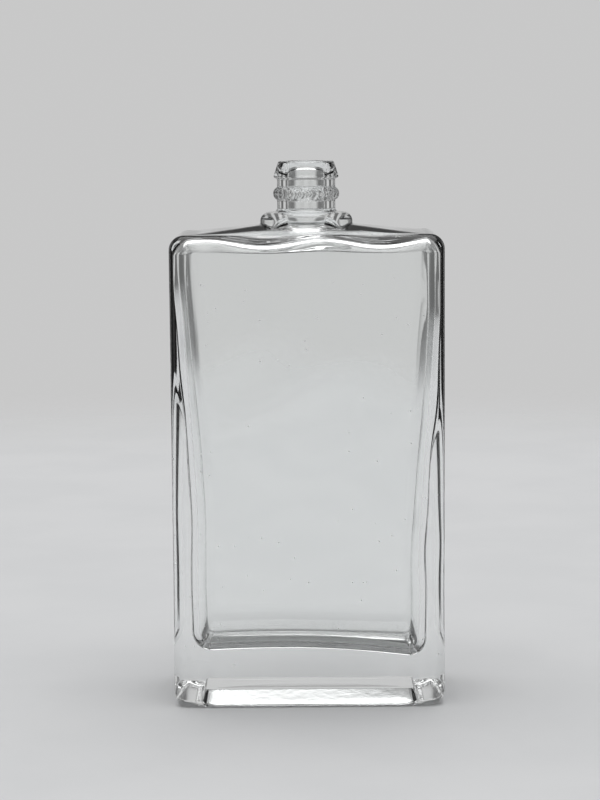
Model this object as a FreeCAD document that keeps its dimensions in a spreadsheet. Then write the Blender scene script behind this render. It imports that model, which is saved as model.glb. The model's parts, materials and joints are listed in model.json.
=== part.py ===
"""Clear glass aftershave bottle with a crimp neck, modelled as the one piece of glass that it is.

The origin is at the centre of the base, on the surface that the bottle stands on. +Z runs up the neck,
X is the width of the body and Y its depth. All sizes are in millimetres.
"""

import FreeCAD, Part
import math
import os
import Sketcher

NODE = "glass_bottle"
SHEET = "Sizes"
FULL_TURN = 360
QUARTER_TURN = 90
LEVEL_TOLERANCE = 1e-4

# How a sketch numbers the ends of a line or arc, its origin and its upright axis.
START_INDEX, END_INDEX = 1, 2
ORIGIN_INDEX = (-1, START_INDEX)
UPRIGHT_AXIS_INDEX = -2

# Straight runs that the cavity's walls thin over, one above the other.
TAPER_RUNS = 5

# Driving dimensions: alias, value, what it measures.
DIMENSIONS = (
    ("body_width", 61.8, "outside width of the body"),
    ("body_depth", 32.0, "outside depth of the body, front to back"),
    ("body_height", 107.5, "from the base to the edge of the shoulder"),
    ("body_edge_radius", 3.4, "edges of the body, upright and round the shoulder"),
    ("heel_radius", 1.5, "edge between the walls and the base"),
    ("hip_rise", 3.1, "pitch of the shoulder, from its edge to its ridge"),
    ("hip_margin", 0.2, "flat strip between a rounded edge and the slope that starts at it"),
    ("ridge_length", 5.0, "ridge of the pitched shoulder, hidden by the pedestal"),
    ("ridge_width", 3.0, "top of the ridge, front to back"),
    ("pedestal_diameter", 21.1, "round pedestal under the neck"),
    ("pedestal_height", 4.8, "pedestal above the edge of the shoulder"),
    ("pedestal_fall", 0.45, "slope of the pedestal's top, from the neck to its edge"),
    ("pedestal_edge_radius", 1.4, "upper edge of the pedestal"),
    ("neck_diameter", 13.3, "neck above and below the bead"),
    ("neck_foot_length", 2.5, "neck between the pedestal and the bead"),
    ("bead_diameter", 15.1, "transfer bead round the neck"),
    ("bead_height", 2.9, "transfer bead along the neck"),
    ("crimp_groove_length", 1.8, "neck between the bead and the lip"),
    ("lip_diameter", 15.0, "widest edge of the crimp lip"),
    ("lip_underside_height", 0.55, "sloped underside of the lip"),
    ("lip_height", 3.65, "lip above its widest edge"),
    ("lip_top_diameter", 12.6, "lip where its taper meets the rim"),
    ("lip_edge_radius", 0.65, "outer edge of the rim"),
    ("lip_crown_radius", 0.45, "widest edge of the lip"),
    ("bore_diameter", 8.7, "mouth of the bottle"),
    ("bore_edge_radius", 0.5, "inner edge of the rim"),
    ("throat_diameter", 14.5, "where the bore opens into the shoulder"),
    ("throat_height", 4.0, "taper from the shoulder to the straight bore"),
    ("floor_thickness", 12.4, "solid glass between the base and the cavity"),
    ("heavy_wall", 4.0, "side walls low in the body"),
    ("heavy_face", 3.8, "front and back walls low in the body"),
    ("heavy_height", 44.0, "where the walls start to thin, above the base"),
    ("thin_wall", 1.7, "side walls high in the body"),
    ("thin_face", 1.9, "front and back walls high in the body"),
    ("thin_length", 5.5, "walls that have thinned, below the edge of the ceiling"),
    ("heavy_edge_radius", 4.8, "edges of the cavity low in the body, upright and round its floor"),
    ("thin_edge_radius", 2.6, "edges of the cavity high in the body, upright and round its ceiling"),
    ("shoulder_wall", 2.0, "glass between the shoulder's edge and the cavity"),
    ("ceiling_rise", 2.2, "pitch of the cavity's ceiling, up to the throat"),
    ("frame_side_width", 6.6, "frame round the hollow under the base, at the sides"),
    ("frame_face_width", 3.4, "frame round the hollow under the base, at the front and back"),
    ("frame_rise", 1.0, "slope of the frame, from the strip that bears up to the heel"),
    ("bearing_width", 1.0, "strip round the hollow that the bottle stands on"),
    ("push_up_depth", 3.75, "hollow under the base"),
    ("push_up_lean", 0.6, "lean of the hollow's walls over their height"),
    ("push_up_corner_radius", 2.6, "upright corners of the hollow, at its roof"),
    ("push_up_roof_radius", 0.7, "edge between the hollow's walls and its roof"),
)


def size(alias):
    """Name a driving dimension inside an expression."""
    return f"{SHEET}.{alias}"


def total(*terms):
    """Join expressions into one sum."""
    return "(" + " + ".join(terms) + ")"


def half(expression):
    """Halve an expression, as a diameter into a radius."""
    return f"({expression} / 2)"


def difference(whole, taken):
    """Take one expression from another."""
    return f"({whole} - {taken})"


def between(low, high, share):
    """Find the value that lies a share of the way from one expression to another."""
    return f"({low} + {share} * ({high} - {low}))"


def inside(outer, wall):
    """Take one wall off each side of an outside size."""
    return f"({outer} - 2 * {wall})"


# Levels above the base, stacked from the driving dimensions.
EAVES = size("body_height")
RIDGE = total(EAVES, size("hip_rise"))
PEDESTAL_TOP = total(EAVES, size("pedestal_height"))
PEDESTAL_EDGE = difference(PEDESTAL_TOP, size("pedestal_fall"))
BEAD_BOTTOM = total(PEDESTAL_TOP, size("neck_foot_length"))
BEAD_TOP = total(BEAD_BOTTOM, size("bead_height"))
LIP_BOTTOM = total(BEAD_TOP, size("crimp_groove_length"))
LIP_CROWN = total(LIP_BOTTOM, size("lip_underside_height"))
RIM = total(LIP_CROWN, size("lip_height"))
CEILING_EDGE = difference(EAVES, size("shoulder_wall"))
CEILING_TOP = total(CEILING_EDGE, size("ceiling_rise"))
THROAT_TOP = total(CEILING_TOP, size("throat_height"))
THIN_LEVEL = difference(CEILING_EDGE, size("thin_length"))

HIP_INSET = total(size("body_edge_radius"), size("hip_margin"))
HEEL_INSET = total(size("heel_radius"), size("hip_margin"))
CEILING_INSET = total(size("thin_edge_radius"), size("hip_margin"))
BEAD_PROUD = half(difference(size("bead_diameter"), size("neck_diameter")))
BEAD_RADIUS = f"(({size('bead_height')} ^ 2 / 4 + {BEAD_PROUD} ^ 2) / (2 * {BEAD_PROUD}))"


def make_sheet(doc):
    """Put the driving dimensions into a spreadsheet, one aliased cell each."""
    sheet = doc.addObject("Spreadsheet::Sheet", SHEET)
    for row, (alias, value, meaning) in enumerate(DIMENSIONS, start=1):
        sheet.set(f"A{row}", alias)
        sheet.set(f"B{row}", str(value))
        sheet.set(f"C{row}", meaning)
        sheet.setAlias(f"B{row}", alias)
    doc.recompute()
    return sheet


def value_of(body, expression):
    """Work out an expression's present value, in millimetres."""
    found = body.evalExpression(expression)
    return float(getattr(found, "Value", found))


def origin_plane(body, role):
    """Find one of the body's own origin planes by its role."""
    return next(plane for plane in body.Origin.OriginFeatures if plane.Role == role)


def new_sketch(body, name, role, offset=None):
    """Attach an empty sketch to an origin plane, lifted off it by an expression."""
    sketch = body.newObject("Sketcher::SketchObject", name)
    sketch.AttachmentSupport = [(origin_plane(body, role), "")]
    sketch.MapMode = "FlatFace"
    if offset:
        sketch.setExpression("AttachmentOffset.Base.z", offset)
    return sketch


def bind(sketch, name, expression, kind, *place):
    """Add a dimension to a sketch and tie it to the spreadsheet.

    Place is what the dimension measures, as the sketch numbers it, and then its present value.
    """
    index = sketch.addConstraint(Sketcher.Constraint(kind, *place))
    sketch.renameConstraint(index, name)
    sketch.setExpression(f"Constraints.{name}", expression)


def rectangle(body, name, width, depth, radius=None, level=None):
    """Draw a rectangle centred on the axis of the bottle.

    Width, depth, radius and level are expressions: radius rounds the corners, which are sharp without
    one, and level is the height of the sketch.
    """
    sketch = new_sketch(body, name, "XY_Plane", level)
    x = value_of(body, width) / 2
    y = value_of(body, depth) / 2
    r = value_of(body, radius) if radius else 0
    point = FreeCAD.Vector
    sides = (
        (point(r - x, -y), point(x - r, -y)),
        (point(x, r - y), point(x, y - r)),
        (point(x - r, y), point(r - x, y)),
        (point(-x, y - r), point(-x, r - y)),
    )
    centres = (point(x - r, r - y), point(x - r, y - r), point(r - x, y - r), point(r - x, r - y))
    for quarter, (ends, centre) in enumerate(zip(sides, centres)):
        sketch.addGeometry(Part.LineSegment(*ends))
        if radius:
            first = math.radians(QUARTER_TURN * (quarter - 1))
            last = math.radians(QUARTER_TURN * quarter)
            sketch.addGeometry(Part.ArcOfCircle(Part.Circle(centre, point(0, 0, 1), r), first, last))
    count = sketch.GeometryCount
    front, right, back, left = range(0, count, count // len(sides))
    for index in range(count):
        meeting = "Tangent" if radius else "Coincident"
        following = (index + 1) % count
        sketch.addConstraint(Sketcher.Constraint(meeting, index, END_INDEX, following, START_INDEX))
    for index in (front, back):
        sketch.addConstraint(Sketcher.Constraint("Horizontal", index))
    for index in (right, left):
        sketch.addConstraint(Sketcher.Constraint("Vertical", index))
    corners = (front, START_INDEX, back, START_INDEX)
    sketch.addConstraint(Sketcher.Constraint("Symmetric", *corners, *ORIGIN_INDEX))
    bind(sketch, "width", width, "DistanceX", left, START_INDEX, right, START_INDEX, 2 * x)
    bind(sketch, "depth", depth, "DistanceY", front, START_INDEX, back, START_INDEX, 2 * y)
    if radius:
        first_arc, *other_arcs = range(1, count, 2)
        for index in other_arcs:
            sketch.addConstraint(Sketcher.Constraint("Equal", first_arc, index))
        bind(sketch, "radius", radius, "Radius", first_arc, r)
    return sketch


def turned_outline(body, name, corners, bulge_after=None, bulge_radius=None):
    """Draw a closed half section for turning about the axis of the bottle.

    Corners are pairs of expressions, radius then height, with None for a point on the axis. The side
    that follows corner bulge_after swells outwards as an arc of bulge_radius.
    """
    sketch = new_sketch(body, name, "XZ_Plane")
    points = []
    for across, up in corners:
        x = value_of(body, across) if across else 0
        points.append(FreeCAD.Vector(x, value_of(body, up)))
    for index, start in enumerate(points):
        end = points[(index + 1) % len(points)]
        if index != bulge_after:
            sketch.addGeometry(Part.LineSegment(start, end))
            continue
        r = value_of(body, bulge_radius)
        chord = end - start
        inset = math.sqrt(r ** 2 - (chord.Length / 2) ** 2)
        outward = FreeCAD.Vector(chord.y, -chord.x).normalize()
        top = (start + end) / 2 + outward * (r - inset)
        sketch.addGeometry(Part.Arc(start, top, end))
    for index in range(len(points)):
        following = (index + 1) % len(points)
        sketch.addConstraint(Sketcher.Constraint("Coincident", index, END_INDEX, following, START_INDEX))
    for index, (across, up) in enumerate(corners):
        x, y = points[index].x, points[index].y
        if across:
            bind(sketch, f"across_{index}", across, "DistanceX", *ORIGIN_INDEX, index, START_INDEX, x)
        else:
            place = (index, START_INDEX, UPRIGHT_AXIS_INDEX)
            sketch.addConstraint(Sketcher.Constraint("PointOnObject", *place))
        bind(sketch, f"up_{index}", up, "DistanceY", *ORIGIN_INDEX, index, START_INDEX, y)
    if bulge_radius:
        bind(sketch, "bulge", bulge_radius, "Radius", bulge_after, r)
    return sketch


def level_edges(body, feature, level):
    """List the edges of a feature that lie at one height."""
    body.Document.recompute()
    height = value_of(body, level)
    names = []
    for index, edge in enumerate(feature.Shape.Edges, start=1):
        box = edge.BoundBox
        if max(abs(box.ZMin - height), abs(box.ZMax - height)) < LEVEL_TOLERANCE:
            names.append(f"Edge{index}")
    return names


def ring_edges(body, feature, level, radius):
    """List the round edges of a feature at one height and one radius."""
    r = value_of(body, radius)
    names = []
    for name in level_edges(body, feature, level):
        curve = feature.Shape.getElement(name).Curve
        if isinstance(curve, Part.Circle) and abs(curve.Radius - r) < LEVEL_TOLERANCE:
            names.append(name)
    return names


def fillet(body, name, feature, edges, radius):
    """Round a list of edges by an expression."""
    rounding = body.newObject("PartDesign::Fillet", name)
    rounding.Base = (feature, edges)
    rounding.setExpression("Radius", radius)
    body.Document.recompute()
    return rounding


def loft(body, kind, name, sections):
    """Skin a list of sketches with straight runs, adding glass or taking it away."""
    skin = body.newObject(f"PartDesign::{kind}Loft", name)
    skin.Profile = sections[0]
    skin.Sections = sections[1:]
    skin.Ruled = True
    body.Document.recompute()
    return skin


def hipped(body, kind, name, low, high):
    """Slope four flat sides from a rectangle up to a smaller one, adding glass or taking it away.

    Low and high each hold the width, depth and height of a rectangle, as expressions.
    """
    block = body.newObject(f"PartDesign::{kind}Wedge", name)
    upright = FreeCAD.Rotation(FreeCAD.Vector(1, 0, 0), QUARTER_TURN)
    block.Placement = FreeCAD.Placement(FreeCAD.Vector(), upright)
    for (width, depth, level), face, end in ((low, "", "min"), (high, "2", "max")):
        for axis, across in (("X", width), ("Z", depth)):
            block.setExpression(f"{axis}{face}min", f"-{half(across)}")
            block.setExpression(f"{axis}{face}max", half(across))
        block.setExpression(f"Y{end}", level)
    body.Document.recompute()
    return block


def pocket(body, name, outline, height):
    """Take away the glass above an outline, up to a height over it."""
    cut = body.newObject("PartDesign::Pocket", name)
    cut.Profile = outline
    cut.Reversed = True
    cut.setExpression("Length", height)
    body.Document.recompute()
    return cut


def turn(body, kind, name, outline):
    """Turn a half section about the axis of the bottle."""
    turned = body.newObject(f"PartDesign::{kind}", name)
    turned.Profile = outline
    turned.ReferenceAxis = (outline, ["V_Axis"])
    turned.Angle = FULL_TURN
    body.Document.recompute()
    return turned


def add_body_block(body):
    """Make the outside of the body: upright walls, pitched shoulder, round heel and shoulder edge."""
    width, depth, edge_radius = size("body_width"), size("body_depth"), size("body_edge_radius")
    underside = size("frame_rise")
    footprint = rectangle(body, "footprint", width, depth, edge_radius, underside)
    walls = body.newObject("PartDesign::Pad", "walls")
    walls.Profile = footprint
    walls.setExpression("Length", difference(EAVES, underside))
    edge = level_edges(body, walls, EAVES)
    rounded = fillet(body, "shoulder_edge", walls, edge, edge_radius)
    heel = level_edges(body, rounded, underside)
    fillet(body, "heel", rounded, heel, size("heel_radius"))
    hip = [inside(side, HIP_INSET) for side in (width, depth)]
    ridge = (size("ridge_length"), size("ridge_width"))
    return hipped(body, "Additive", "pitched_shoulder", (*hip, EAVES), (*ridge, RIDGE))


def add_frame(body):
    """Slope the underside from the heel down to the strip that the bottle stands on."""
    outer = (
        inside(size("body_width"), HEEL_INSET),
        inside(size("body_depth"), HEEL_INSET),
        difference(size("body_edge_radius"), HEEL_INSET),
    )
    bearing = (
        inside(size("body_width"), difference(size("frame_side_width"), size("bearing_width"))),
        inside(size("body_depth"), difference(size("frame_face_width"), size("bearing_width"))),
        total(size("push_up_corner_radius"), size("push_up_lean"), size("bearing_width")),
    )
    sections = [
        rectangle(body, "frame_edge", *outer, size("frame_rise")),
        rectangle(body, "bearing_edge", *bearing),
    ]
    return loft(body, "Additive", "bearing_frame", sections)


def add_neck(body):
    """Turn the pedestal, the neck, its bead and the crimp lip, then round their edges."""
    neck = half(size("neck_diameter"))
    pedestal = half(size("pedestal_diameter"))
    lip = half(size("lip_diameter"))
    rim = half(size("lip_top_diameter"))
    corners = (
        (None, CEILING_EDGE),
        (pedestal, CEILING_EDGE),
        (pedestal, PEDESTAL_EDGE),
        (neck, PEDESTAL_TOP),
        (neck, BEAD_BOTTOM),
        (neck, BEAD_TOP),
        (neck, LIP_BOTTOM),
        (lip, LIP_CROWN),
        (rim, RIM),
        (None, RIM),
    )
    bead = corners.index((neck, BEAD_BOTTOM))
    outline = turned_outline(body, "finish_outline", corners, bead, BEAD_RADIUS)
    feature = turn(body, "Revolution", "finish", outline)
    roundings = (
        ("pedestal_edge", PEDESTAL_EDGE, pedestal, "pedestal_edge_radius"),
        ("lip_crown", LIP_CROWN, lip, "lip_crown_radius"),
        ("rim_edge", RIM, rim, "lip_edge_radius"),
    )
    for name, level, radius, rounding in roundings:
        edges = ring_edges(body, feature, level, radius)
        feature = fillet(body, name, feature, edges, size(rounding))
    return feature


def cut_cavity(body):
    """Take out the blown cavity, whose walls are heavy low down and thin high up."""
    heavy = (
        inside(size("body_width"), size("heavy_wall")),
        inside(size("body_depth"), size("heavy_face")),
        size("heavy_edge_radius"),
    )
    thin = (
        inside(size("body_width"), size("thin_wall")),
        inside(size("body_depth"), size("thin_face")),
        size("thin_edge_radius"),
    )
    floor, low, high = size("floor_thickness"), size("heavy_height"), THIN_LEVEL
    floor_outline = rectangle(body, "floor_outline", *heavy, floor)
    lower = pocket(body, "lower_cavity", floor_outline, difference(low, floor))
    floor_edges = level_edges(body, lower, floor)
    fillet(body, "floor_rounding", lower, floor_edges, size("heavy_edge_radius"))
    stations = []
    for number in range(TAPER_RUNS + 1):
        share = number / TAPER_RUNS
        eased = share ** 2 * (3 - 2 * share)
        outline = [between(wide, slim, eased) for wide, slim in zip(heavy, thin)]
        level = between(low, high, share)
        stations.append(rectangle(body, f"taper_{number}", *outline, level))
    loft(body, "Subtractive", "cavity_taper", stations)
    upper_outline = rectangle(body, "upper_outline", *thin, high)
    upper = pocket(body, "upper_cavity", upper_outline, difference(CEILING_EDGE, high))
    eaves = level_edges(body, upper, CEILING_EDGE)
    fillet(body, "ceiling_rounding", upper, eaves, size("thin_edge_radius"))
    pitch = [inside(side, CEILING_INSET) for side in thin[:2]]
    throat = size("throat_diameter")
    opening = (throat, throat, CEILING_TOP)
    return hipped(body, "Subtractive", "pitched_ceiling", (*pitch, CEILING_EDGE), opening)


def cut_bore(body):
    """Open the mouth, with a throat that widens into the shoulder."""
    bore = half(size("bore_diameter"))
    throat = half(size("throat_diameter"))
    corners = (
        (None, CEILING_EDGE),
        (throat, CEILING_EDGE),
        (throat, CEILING_TOP),
        (bore, THROAT_TOP),
        (bore, RIM),
        (None, RIM),
    )
    opened = turn(body, "Groove", "bore", turned_outline(body, "bore_outline", corners))
    mouth = ring_edges(body, opened, RIM, bore)
    return fillet(body, "mouth_edge", opened, mouth, size("bore_edge_radius"))


def cut_push_up(body):
    """Hollow the underside within the strip that the bottle stands on."""
    depth = size("push_up_depth")
    lean = size("push_up_lean")
    rim = (
        inside(size("body_width"), size("frame_side_width")),
        inside(size("body_depth"), size("frame_face_width")),
        total(size("push_up_corner_radius"), lean),
    )
    hollow = pocket(body, "push_up", rectangle(body, "push_up_rim", *rim), depth)
    hollow.setExpression("TaperAngle", f"-atan({lean} / {depth})")
    roof = level_edges(body, hollow, depth)
    return fillet(body, "push_up_roof", hollow, roof, size("push_up_roof_radius"))


def check_document(doc):
    """Stop if any object failed to build or the bottle isn't one sound solid."""
    for item in doc.Objects:
        if "Invalid" in item.State or "Error" in item.State:
            raise RuntimeError(f"{item.Name} did not build: {item.State}")
    shape = doc.getObject(NODE).Shape
    if shape.isNull() or not shape.isValid() or len(shape.Solids) != 1:
        raise RuntimeError(f"{NODE} is not one valid solid")


def main():
    """Build the bottle, check it and write its solid."""
    doc = FreeCAD.newDocument("aftershave_bottle")
    make_sheet(doc)
    body = doc.addObject("PartDesign::Body", NODE)
    body.Label = NODE
    steps = (add_body_block, add_frame, add_neck, cut_cavity, cut_bore, cut_push_up)
    for step in steps:
        before = body.Shape.Volume if body.Tip else 0
        feature = step(body)
        body.Tip = feature
        doc.recompute()
        print(f"{step.__name__}: {body.Shape.Volume - before:+.1f} mm3")
    check_document(doc)
    os.makedirs("parts", exist_ok=True)
    body.Shape.exportStep(f"parts/{body.Label}.step")
    box = body.Shape.optimalBoundingBox()
    print(f"{body.Label}: {box.XLength:.2f} x {box.YLength:.2f} x {box.ZLength:.2f} mm")


main()
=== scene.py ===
"""Looks of a clear glass aftershave bottle: heavy rectangular body, pitched shoulder and crimp neck.

The glass is one closed skin of rings. They start at the middle of the underside, climb the outside, pass
over the lip and go down the inside to the middle of the cavity's floor. Sizes are in millimetres where a
class doesn't say otherwise, and the finished mesh is in metres.
"""

import json
import logging
import math
from dataclasses import dataclass
from enum import Enum
from typing import Any, Iterable, Iterator, Mapping, Optional, Sequence, Union

import bpy
import numpy as np
from mathutils import Euler, Matrix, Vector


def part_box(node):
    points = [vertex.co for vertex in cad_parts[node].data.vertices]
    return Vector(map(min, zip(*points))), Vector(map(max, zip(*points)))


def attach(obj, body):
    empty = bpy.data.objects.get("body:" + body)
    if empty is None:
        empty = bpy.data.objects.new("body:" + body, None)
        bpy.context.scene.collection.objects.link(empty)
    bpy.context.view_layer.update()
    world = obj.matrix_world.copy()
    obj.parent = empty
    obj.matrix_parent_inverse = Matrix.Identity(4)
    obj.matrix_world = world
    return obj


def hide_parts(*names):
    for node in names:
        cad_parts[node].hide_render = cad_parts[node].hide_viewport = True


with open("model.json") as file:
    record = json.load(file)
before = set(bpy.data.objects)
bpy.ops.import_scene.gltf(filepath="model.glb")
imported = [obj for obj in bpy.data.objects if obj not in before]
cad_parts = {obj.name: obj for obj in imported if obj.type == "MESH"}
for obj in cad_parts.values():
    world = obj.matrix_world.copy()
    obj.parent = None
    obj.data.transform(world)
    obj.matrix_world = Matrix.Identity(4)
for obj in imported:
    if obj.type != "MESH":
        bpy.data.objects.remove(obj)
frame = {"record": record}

LOG = logging.getLogger("aftershave_bottle")
MM = 0.001
NODE = "glass_bottle"
BODY = "root"
SLOT = "flint_glass"
MOUTH = "mouth_bore"
QUARTER_TURN = math.pi / 2
FULL_TURN = 2 * math.pi
# Where a straight run of a rounded path has points, as shares of its length.
RUN_SHARES = (0.05, 0.5, 0.95)
# The outline of a ring that is a single point on the bottle's axis.
MIDDLE = np.zeros((1, 2))

Colour = tuple[float, float, float]
Span = tuple[float, float]
Value = Union["Wire", float, int, str, tuple, bpy.types.ID]


class Sum(Enum):
    """Sums that wires take part in, by the names that a Math node gives them."""

    ADD = "ADD"
    SUBTRACT = "SUBTRACT"
    MULTIPLY = "MULTIPLY"
    DIVIDE = "DIVIDE"
    FLOOR = "FLOOR"
    FRACTION = "FRACT"
    COSINE = "COSINE"
    BEARING = "ARCTAN2"
    GREATER = "GREATER_THAN"
    WRAP = "WRAP"


class Mark(Enum):
    """Names of the values that each point of the skin carries for the mould's relief."""

    ALONG = "stipple_along"
    OUTWARD = "stipple_outward"
    STIPPLED = "stipple_share"
    TURN = "knurl_turn"
    KNURLED = "knurl_share"


class Wire:
    """An output socket of a node, which takes part in sums as a number does."""

    def __init__(self, bench: "NodeBench", socket: bpy.types.NodeSocket) -> None:
        """Hold a socket and the bench that its node stands on."""
        self.bench = bench
        self.socket = socket

    def twin(self, name: str) -> "Wire":
        """Take another output of the same node."""
        return Wire(self.bench, self.socket.node.outputs[name])

    def __add__(self, other: Value) -> "Wire":
        """Add a value to this one."""
        return self.bench.sum(Sum.ADD, self, other)

    def __radd__(self, other: Value) -> "Wire":
        """Add this to a value."""
        return self.bench.sum(Sum.ADD, other, self)

    def __sub__(self, other: Value) -> "Wire":
        """Take a value from this one."""
        return self.bench.sum(Sum.SUBTRACT, self, other)

    def __rsub__(self, other: Value) -> "Wire":
        """Take this from a value."""
        return self.bench.sum(Sum.SUBTRACT, other, self)

    def __mul__(self, other: Value) -> "Wire":
        """Multiply this by a value."""
        return self.bench.sum(Sum.MULTIPLY, self, other)

    def __rmul__(self, other: Value) -> "Wire":
        """Multiply a value by this."""
        return self.bench.sum(Sum.MULTIPLY, other, self)

    def __truediv__(self, other: Value) -> "Wire":
        """Divide this by a value."""
        return self.bench.sum(Sum.DIVIDE, self, other)

    def __rtruediv__(self, other: Value) -> "Wire":
        """Divide a value by this."""
        return self.bench.sum(Sum.DIVIDE, other, self)


class NodeBench:
    """Builds the nodes of one tree, for a finish, the studio's surroundings or the mould's relief."""

    def __init__(self, tree: bpy.types.NodeTree) -> None:
        """Hold the tree and clear it."""
        self.tree = tree
        tree.nodes.clear()

    def node(
        self,
        kind: str,
        settings: Optional[Mapping[str, Any]] = None,
        sockets: Optional[Mapping[Union[str, int], Value]] = None,
        output: Union[str, int, None] = 0,
    ) -> Optional[Wire]:
        """Add one node.

        Args:
            kind: Blender's name of the node's type.
            settings: The node's own settings, set before its sockets.
            sockets: Numbers, colours or wires, by the socket's name or place.
            output: The output to hand back, by name or place, or None for a node that ends the tree.

        Returns:
            The chosen output, or None.
        """
        made = self.tree.nodes.new(kind)
        for name, value in (settings or {}).items():
            setattr(made, name, value)
        for key, value in (sockets or {}).items():
            socket = self._pick(made.inputs, key)
            if isinstance(value, Wire):
                self.tree.links.new(value.socket, socket)
            else:
                socket.default_value = value
        return None if output is None else Wire(self, self._pick(made.outputs, output))

    def sum(self, operation: Sum, *terms: Value) -> Wire:
        """Add one Math node."""
        return self.node("ShaderNodeMath", {"operation": operation.value}, dict(enumerate(terms)))

    def ease(self, value: Wire, low: float, high: float, start: float = 0.0, end: float = 1.0) -> Wire:
        """Ramp a value smoothly.

        Args:
            value: What is ramped.
            low: Where the ramp starts.
            high: Where it ends.
            start: The result at and before low.
            end: The result at and after high.

        Returns:
            The ramped value.
        """
        sockets = {"Value": value, "From Min": low, "From Max": high, "To Min": start, "To Max": end}
        return self.node("ShaderNodeMapRange", {"interpolation_type": "SMOOTHSTEP"}, sockets)

    def noise(self, place: Wire, scale: float, detail: float = 3.0) -> Wire:
        """Add a noise, with its scale in features to the metre."""
        return self.node("ShaderNodeTexNoise", None, {"Vector": place, "Scale": scale, "Detail": detail})

    def blend(self, share: Wire, first: Colour, second: Colour) -> Wire:
        """Mix two colours by a share."""
        sockets = {"Factor": share, "A": (*first, 1.0), "B": (*second, 1.0)}
        return self.node("ShaderNodeMix", {"data_type": "RGBA"}, sockets, "Result")

    @staticmethod
    def _pick(sockets: Iterable[bpy.types.NodeSocket], key: Union[str, int]) -> bpy.types.NodeSocket:
        """Find a socket in use by its name or its place."""
        used = [socket for socket in sockets if socket.enabled]
        return used[key] if isinstance(key, int) else next(s for s in used if s.name == key)


@dataclass(frozen=True)
class FlintGlass:
    """Clear flint glass, faintly rippled, with a thin film, dust and a duller, scuffed underside.

    Lengths are in metres and scales in features to the metre. A span is the pair of values between which a
    mask eases from nothing to full.
    """

    name: str = SLOT
    clear: Colour = (0.985, 0.995, 0.992)
    filmed: Colour = (0.955, 0.970, 0.968)
    refraction: float = 1.52
    polish: float = 0.004
    film_roughness: float = 0.045
    film_scale: float = 48.0
    film_span: Span = (0.54, 0.74)
    smear_scale: float = 960.0
    smear_span: Span = (0.3, 0.7)
    smear_least: float = 0.4
    dust_roughness: float = 0.42
    dust_scale: float = 300.0
    dust_span: Span = (0.085, 0.051)
    dust_free: float = 0.72
    scuff_roughness: float = 0.35
    scuff_scale: float = 1500.0
    scuff_span: Span = (0.35, 0.65)
    scuff_height: Span = (0.00025, 0.00005)
    ripple_scale: float = 85.0
    ripple_height: float = 0.000012
    chill_roughness: float = 0.13
    chill_scale: float = 700.0
    chill_depth: float = 0.000018
    chill_size: Span = (0.0303, 0.0154)
    chill_margin: float = 0.97
    chill_height: Span = (0.0037, 0.00333)

    def make(self) -> bpy.types.Material:
        """Build the material.

        Returns:
            The finished material.
        """
        material = bpy.data.materials.new(self.name)
        material.use_nodes = True
        bench = NodeBench(material.node_tree)
        place = bench.node("ShaderNodeTexCoord", output="Object")
        film = self._film(bench, place)
        roughness = self.polish + film * self.film_roughness
        roughness = roughness + self._dust(bench, place) * self.dust_roughness
        roughness = roughness + self._scuff(bench, place) * self.scuff_roughness
        chill = self._chill(bench, place)
        roughness = roughness + chill * self.chill_roughness
        sockets = {
            "Base Color": bench.blend(film, self.clear, self.filmed),
            "Roughness": roughness,
            "IOR": self.refraction,
            "Transmission Weight": 1.0,
            "Normal": self._ripple(bench, place, chill),
        }
        glass = bench.node("ShaderNodeBsdfPrincipled", None, sockets)
        bench.node("ShaderNodeOutputMaterial", None, {"Surface": glass}, None)
        return material

    def _film(self, bench: NodeBench, place: Wire) -> Wire:
        """Mask the smears that handling leaves, as broad patches with a fine break-up.

        Args:
            bench: Where the nodes go.
            place: Where each point is on the piece.

        Returns:
            The mask.
        """
        patches = bench.ease(bench.noise(place, self.film_scale, detail=4.0), *self.film_span)
        smears = bench.noise(place, self.smear_scale, detail=2.0)
        return patches * bench.ease(smears, *self.smear_span, start=self.smear_least)

    def _dust(self, bench: NodeBench, place: Wire) -> Wire:
        """Mask scattered specks of dust, one in only some of the cells.

        Args:
            bench: Where the nodes go.
            place: Where each point is on the piece.

        Returns:
            The mask.
        """
        sockets = {"Vector": place, "Scale": self.dust_scale}
        distance = bench.node("ShaderNodeTexVoronoi", {"feature": "F1"}, sockets, "Distance")
        chance = bench.node("ShaderNodeSeparateColor", None, {"Color": distance.twin("Color")})
        speck = bench.ease(distance, *self.dust_span)
        return speck * bench.sum(Sum.GREATER, chance, self.dust_free)

    def _scuff(self, bench: NodeBench, place: Wire) -> Wire:
        """Mask the wear on the tips that the bottle stands on.

        Args:
            bench: Where the nodes go.
            place: Where each point is on the piece.

        Returns:
            The mask.
        """
        up = bench.node("ShaderNodeSeparateXYZ", None, {"Vector": place}, "Z")
        low = bench.ease(up, *self.scuff_height)
        return low * bench.ease(bench.noise(place, self.scuff_scale), *self.scuff_span)

    def _chill(self, bench: NodeBench, place: Wire) -> Wire:
        """Mask the underside, which the mould's cold plate leaves duller.

        Args:
            bench: Where the nodes go.
            place: Where each point is on the piece.

        Returns:
            The mask.
        """
        across = bench.node("ShaderNodeSeparateXYZ", None, {"Vector": place}, "X")
        mask = bench.ease(across.twin("Z"), *self.chill_height)
        for wire, reach in zip((across, across.twin("Y")), self.chill_size):
            mask = mask * bench.ease(wire * wire, reach ** 2, (self.chill_margin * reach) ** 2)
        return mask

    def _ripple(self, bench: NodeBench, place: Wire, chill: Wire) -> Wire:
        """Tilt the surface by the faint ripple of blown glass, and by a finer one where it was chilled.

        Args:
            bench: Where the nodes go.
            place: Where each point is on the piece.
            chill: Mask of the chilled underside.

        Returns:
            The tilted normal.
        """
        height = bench.noise(place, self.ripple_scale, detail=1.5) * self.ripple_height
        height = height + bench.noise(place, self.chill_scale, detail=2.0) * chill * self.chill_depth
        return bench.node("ShaderNodeBump", None, {"Height": height, "Distance": 1.0})


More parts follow.
